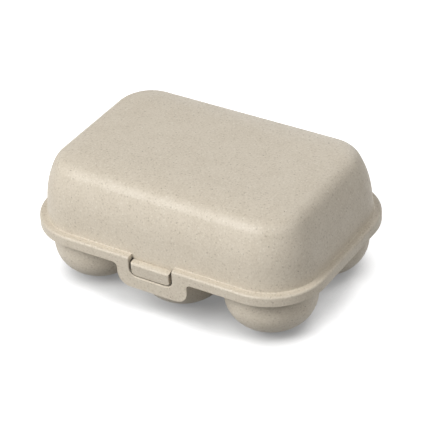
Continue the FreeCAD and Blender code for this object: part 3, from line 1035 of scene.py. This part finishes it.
@dataclass(frozen=True)
class FleckedPlastic:
    """A matte moulded plastic filled with plant fibre: warm beige, with fine brown and pale flecks.

    The gap values say how far the shade painted into the colour of gaps and hollows reaches, and where it is let in:
    round the window and under the tray.
    """

    name: str = "carrier_plastic"
    base: Colour = srgb(210, 200, 183)
    shade: Colour = srgb(199, 188, 170)
    # Painted shade: the dark brown painted into the window's gaps and under the tray, where shade falls.
    painted_shade_colour: Colour = srgb(50, 37, 21)
    cloud_size: float = 9 * MM
    cloud_range: tuple[float, float] = (0.3, 0.7)
    cloud_tone: float = 0.35
    grain_size: float = 1.25 * MM
    grain_tone: float = 3.0
    least_tone: float = 0.2
    wander_size: float = 2.2
    fleck_wander: float = 0.35
    fleck_softness: float = 0.06
    gap_reach: float = 6 * MM
    gap_samples: int = 12
    gap_shares: tuple[float, float] = (0.1, 0.6)
    window_reach: float = 17.5 * MM
    window_back: float = -66 * MM
    open_above: float = 37.2 * MM
    bump_sizes: tuple[float, float] = (0.35 * MM, 1.6 * MM)
    bump_shares: tuple[float, float] = (0.6, 0.4)
    bump_height: float = 0.05 * MM
    bump_strength: float = 0.25
    roughness: float = 0.48
    rough_shares: tuple[float, float, float] = (0.12, 0.04, 0.1)
    ior: float = 1.48
    flecks: tuple[Flecks, ...] = (
        Flecks(1.9 * MM, 0.14, 0.32, 0.24, srgb(140, 124, 102)),
        Flecks(2.8 * MM, 0.10, 0.25, 0.30, srgb(128, 111, 90), seed=3.0),
        Flecks(4.6 * MM, 0.05, 0.12, 0.60, srgb(104, 87, 68), seed=5.0),
        Flecks(3.4 * MM, 0.04, 0.09, 0.45, srgb(116, 98, 78), (0.3, 1.0, 1.0), (0.5, 0.3, 0.9), 7.0),
        Flecks(2.2 * MM, 0.14, 0.32, 0.35, srgb(228, 222, 209), seed=11.0),
    )

    def fleck_mask(self, shader: Shader, place: Signal, kind: Flecks) -> Signal:
        """Where one kind of fleck shows.

        Args:
            shader: The material's nodes.
            place: The point on the piece.
            kind: The kind of fleck.

        Returns:
            1 inside its flecks and 0 outside.
        """
        turned = shader.node(
            "ShaderNodeMapping",
            {"vector_type": "POINT"},
            {"Vector": place, "Location": (kind.seed,) * 3, "Rotation": kind.turn, "Scale": kind.stretch},
        )
        wander = shader.noise(turned, kind.spacing / self.wander_size, 1.0)
        pushed = shader.node(
            "ShaderNodeVectorMath",
            {"operation": "MULTIPLY_ADD"},
            {0: wander.out("Color"), 1: (kind.spacing * self.fleck_wander,) * 3, 2: turned},
        )
        cells = shader.node("ShaderNodeTexVoronoi", None, {"Vector": pushed, "Scale": 1 / kind.spacing})
        chance = shader.node("ShaderNodeSeparateColor", None, {0: cells.out("Color")})
        reach = chance * (kind.largest - kind.smallest) + kind.smallest
        return ((reach - cells) / self.fleck_softness).between(0.0, 1.0)

    def painted_shade_depth(self, shader: Shader, place: Signal) -> Signal:
        """How much painted shade a point gets, from how deep it lies in the window's gaps or under the tray.

        Args:
            shader: The material's nodes.
            place: The point on the piece.

        Returns:
            0 on an open face and 1 deep in a gap.
        """
        open_share = shader.openness(self.gap_reach, self.gap_samples)
        axes = shader.node("ShaderNodeSeparateXYZ", None, {0: place})
        across, front, level = axes, axes.out("Y"), axes.out("Z")
        window = (across.math("ABSOLUTE", across) < self.window_reach) * (front < self.window_back)
        region = window.math("MAXIMUM", window, level < self.open_above)
        return (1.0 - open_share.between(*self.gap_shares)) * region

    def build(self) -> bpy.types.Material:
        """Makes the material.

        Returns:
            The material.
        """
        material = bpy.data.materials.new(self.name)
        shader = Shader(material)
        place = shader.node("ShaderNodeTexCoord").out("Object")
        cloud = shader.noise(place, self.cloud_size, 3.0).between(*self.cloud_range)
        grain = shader.noise(place, self.grain_size) - MEAN_NOISE
        tone = cloud * self.cloud_tone + grain * self.grain_tone + self.least_tone
        colour = shader.mix(tone, self.base, self.shade)
        speckle = None
        for kind in self.flecks:
            mask = self.fleck_mask(shader, place, kind) * kind.strength
            colour = shader.mix(mask, colour, kind.colour)
            speckle = mask if speckle is None else speckle + mask
        # Painted shade: the colour darkens towards dark brown in the window's gaps and under the tray, where shade
        # falls.
        colour = shader.mix(self.painted_shade_depth(shader, place), colour, self.painted_shade_colour)
        fine, soft = (shader.noise(place, size) * share for size, share in zip(self.bump_sizes, self.bump_shares))
        relief = {"Strength": self.bump_strength, "Distance": self.bump_height, "Height": fine + soft}
        bump = shader.node("ShaderNodeBump", None, relief)
        by_grain, by_cloud, by_fleck = self.rough_shares
        rough = grain * by_grain + cloud * by_cloud + speckle * by_fleck + self.roughness
        look = {"Base Color": colour, "Roughness": rough, "Normal": bump, "IOR": self.ior}
        surface = shader.node("ShaderNodeBsdfPrincipled", None, look)
        shader.node("ShaderNodeOutputMaterial", None, {"Surface": surface})
        return material


def dress(piece: bpy.types.Object, material: bpy.types.Material) -> None:
    """Gives a piece one material all over."""
    piece.data.materials.clear()
    piece.data.materials.append(material)


# ---- studio ----


@dataclass(frozen=True)
class Lamp:
    """A square soft lamp that looks at the carrier."""

    name: str
    azimuth: float
    elevation: float
    power: float
    size: float = 0.8
    distance: float = 1.5
    aim: Vector = Vector((0, 0, 50 * MM))

    def build(self) -> None:
        """Adds the lamp to the scene."""
        turn, lift = math.radians(self.azimuth), math.radians(self.elevation)
        away = Vector((math.sin(turn) * math.cos(lift), -math.cos(turn) * math.cos(lift), math.sin(lift)))
        data = bpy.data.lights.new(self.name, "AREA")
        data.energy, data.size = self.power, self.size
        lamp = bpy.data.objects.new(self.name, data)
        bpy.context.scene.collection.objects.link(lamp)
        lamp.location = self.aim + away * self.distance
        lamp.rotation_euler = away.to_track_quat("Z", "Y").to_euler()


@dataclass(frozen=True)
class Studio:
    """A white floor and backdrop, with soft lamps.

    The floor is darker to light that bounces off it than to the camera. Its glow falls from 1 in the open to the
    least glow under the carrier, which gives its soft shadow.
    """

    lamps: tuple[Lamp, ...] = (
        Lamp("key", -20, 45, 14.0),
        Lamp("front", -30, 35, 8.8),
        Lamp("right", 80, 45, 6.2),
        Lamp("low_right", 100, 5, 2.6),
        Lamp("rear", 180, 25, 3.5),
        Lamp("low_rear", -162, 8, 3.3),
    )
    floor_size: float = 6.0
    floor_share: float = 0.45
    bounce_share: float = 0.32
    least_glow: float = 0.2
    shade_reach: float = 40 * MM
    shade_samples: int = 32
    shade_shares: tuple[float, float] = (0.29, 0.8)

    def shown(self, shader: Shader) -> Signal:
        """1 for a ray from the camera, a reflection or a clear piece, and 0 for light on a matte surface."""
        path = shader.node("ShaderNodeLightPath")
        return path.out("Is Camera Ray") + path.out("Is Glossy Ray") + path.out("Is Transmission Ray")

    def floor(self) -> bpy.types.Object:
        """The floor, on which the camera sees the carrier's shadow and otherwise white."""
        size = Vector((self.floor_size, self.floor_size, 1))
        floor = start_piece("floor", bpy.ops.mesh.primitive_plane_add, size, Vector((0, 0, 0)), size=1)
        material = bpy.data.materials.new("floor_white")
        shader = Shader(material)
        shares = [(share,) * 3 + (1.0,) for share in (self.bounce_share, self.floor_share)]
        matte = shader.node("ShaderNodeBsdfDiffuse", None, {"Color": shader.mix(self.shown(shader), *shares)})
        open_share = shader.openness(self.shade_reach, self.shade_samples)
        level = open_share.between(*self.shade_shares) * (1 - self.least_glow) + self.least_glow
        glow = shader.node("ShaderNodeEmission", None, {"Color": WHITE, "Strength": level * self.shown(shader)})
        both = shader.node("ShaderNodeAddShader", None, {0: matte, 1: glow})
        shader.node("ShaderNodeOutputMaterial", None, {"Surface": both})
        dress(floor, material)
        return floor

    def backdrop(self) -> None:
        """The world: white to the camera and in reflections, and no light on matte surfaces."""
        world = bpy.data.worlds.new("studio")
        bpy.context.scene.world = world
        shader = Shader(world)
        glow = shader.node("ShaderNodeBackground", None, {"Color": WHITE, "Strength": self.shown(shader)})
        shader.node("ShaderNodeOutputWorld", None, {"Surface": glow})

    def build(self) -> None:
        """Adds the floor, the backdrop and the lamps."""
        self.floor()
        self.backdrop()
        for lamp in self.lamps:
            lamp.build()
        bpy.context.scene.view_settings.view_transform = "Standard"


@dataclass(frozen=True)
class PhotoCamera:
    """The camera at the photograph's viewing angle."""

    right: Vector = Vector((0.8509, 0.5228, -0.0515))
    up: Vector = Vector((-0.2579, 0.5010, 0.8261))
    back: Vector = Vector((0.4577, -0.6896, 0.5611))
    target: Vector = Vector((0, -3.5 * MM, 40 * MM))
    distance: float = 1278.4 * MM
    lens: float = 173.36
    shift_x: float = 0.0034
    shift_y: float = 0.0045
    nearest: float = 0.05
    farthest: float = 20.0

    def build(self) -> bpy.types.Object:
        """Adds the camera to the scene and looks through it."""
        data = bpy.data.cameras.new("photo_camera")
        data.lens, data.shift_x, data.shift_y = self.lens, self.shift_x, self.shift_y
        data.clip_start, data.clip_end = self.nearest, self.farthest
        camera = bpy.data.objects.new("photo_camera", data)
        bpy.context.scene.collection.objects.link(camera)
        turn = Matrix((self.right, self.up, self.back)).transposed().to_4x4()
        camera.matrix_world = Matrix.Translation(self.target + self.back * self.distance) @ turn
        bpy.context.scene.camera = camera
        return camera


def main() -> None:
    """Builds and dresses the carrier, its floor, its lamps and its camera."""
    logging.basicConfig(level=logging.INFO, format="%(message)s")
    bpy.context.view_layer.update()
    ring = Ring(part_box("lid_shell")[0].y + Ring.width / 2)
    section = DomeSection(ring)
    pins = [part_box(f"hinge_pin_{side}") for side in ("left", "right")]
    plastic = FleckedPlastic().build()
    hinges = [(low + high) / 2 for low, high in pins]
    lid, latch = Lid(ring, section, hinge_places=hinges).build()
    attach(lid, "lid")
    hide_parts("lid_shell")
    hinge_line = Vector((0, ring.front, Lid.latch_root))
    ring.front
    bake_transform(latch)
    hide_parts("latch_flap")
    cups = [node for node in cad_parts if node.startswith("egg_cup")]
    places = [(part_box(node)[0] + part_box(node)[1]) / 2 for node in cups]
    tray = Tray(ring, [Vector((p.x, p.y, 0)) for p in places], hinges).build()
    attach(tray, "base")
    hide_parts("base_tray", "latch_catch", *cups)
    for piece in (lid, latch, tray):
        dress(piece, plastic)
        log.info("%s: %d faces", piece.name, len(piece.data.polygons))
    for node in ("hinge_pin_left", "hinge_pin_right"):
        dress(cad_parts[node], plastic)
        log.info("%s: the CAD solid, dressed", node)
    PhotoCamera().build()
    Studio().build()


if __name__ == "__main__":
    main()
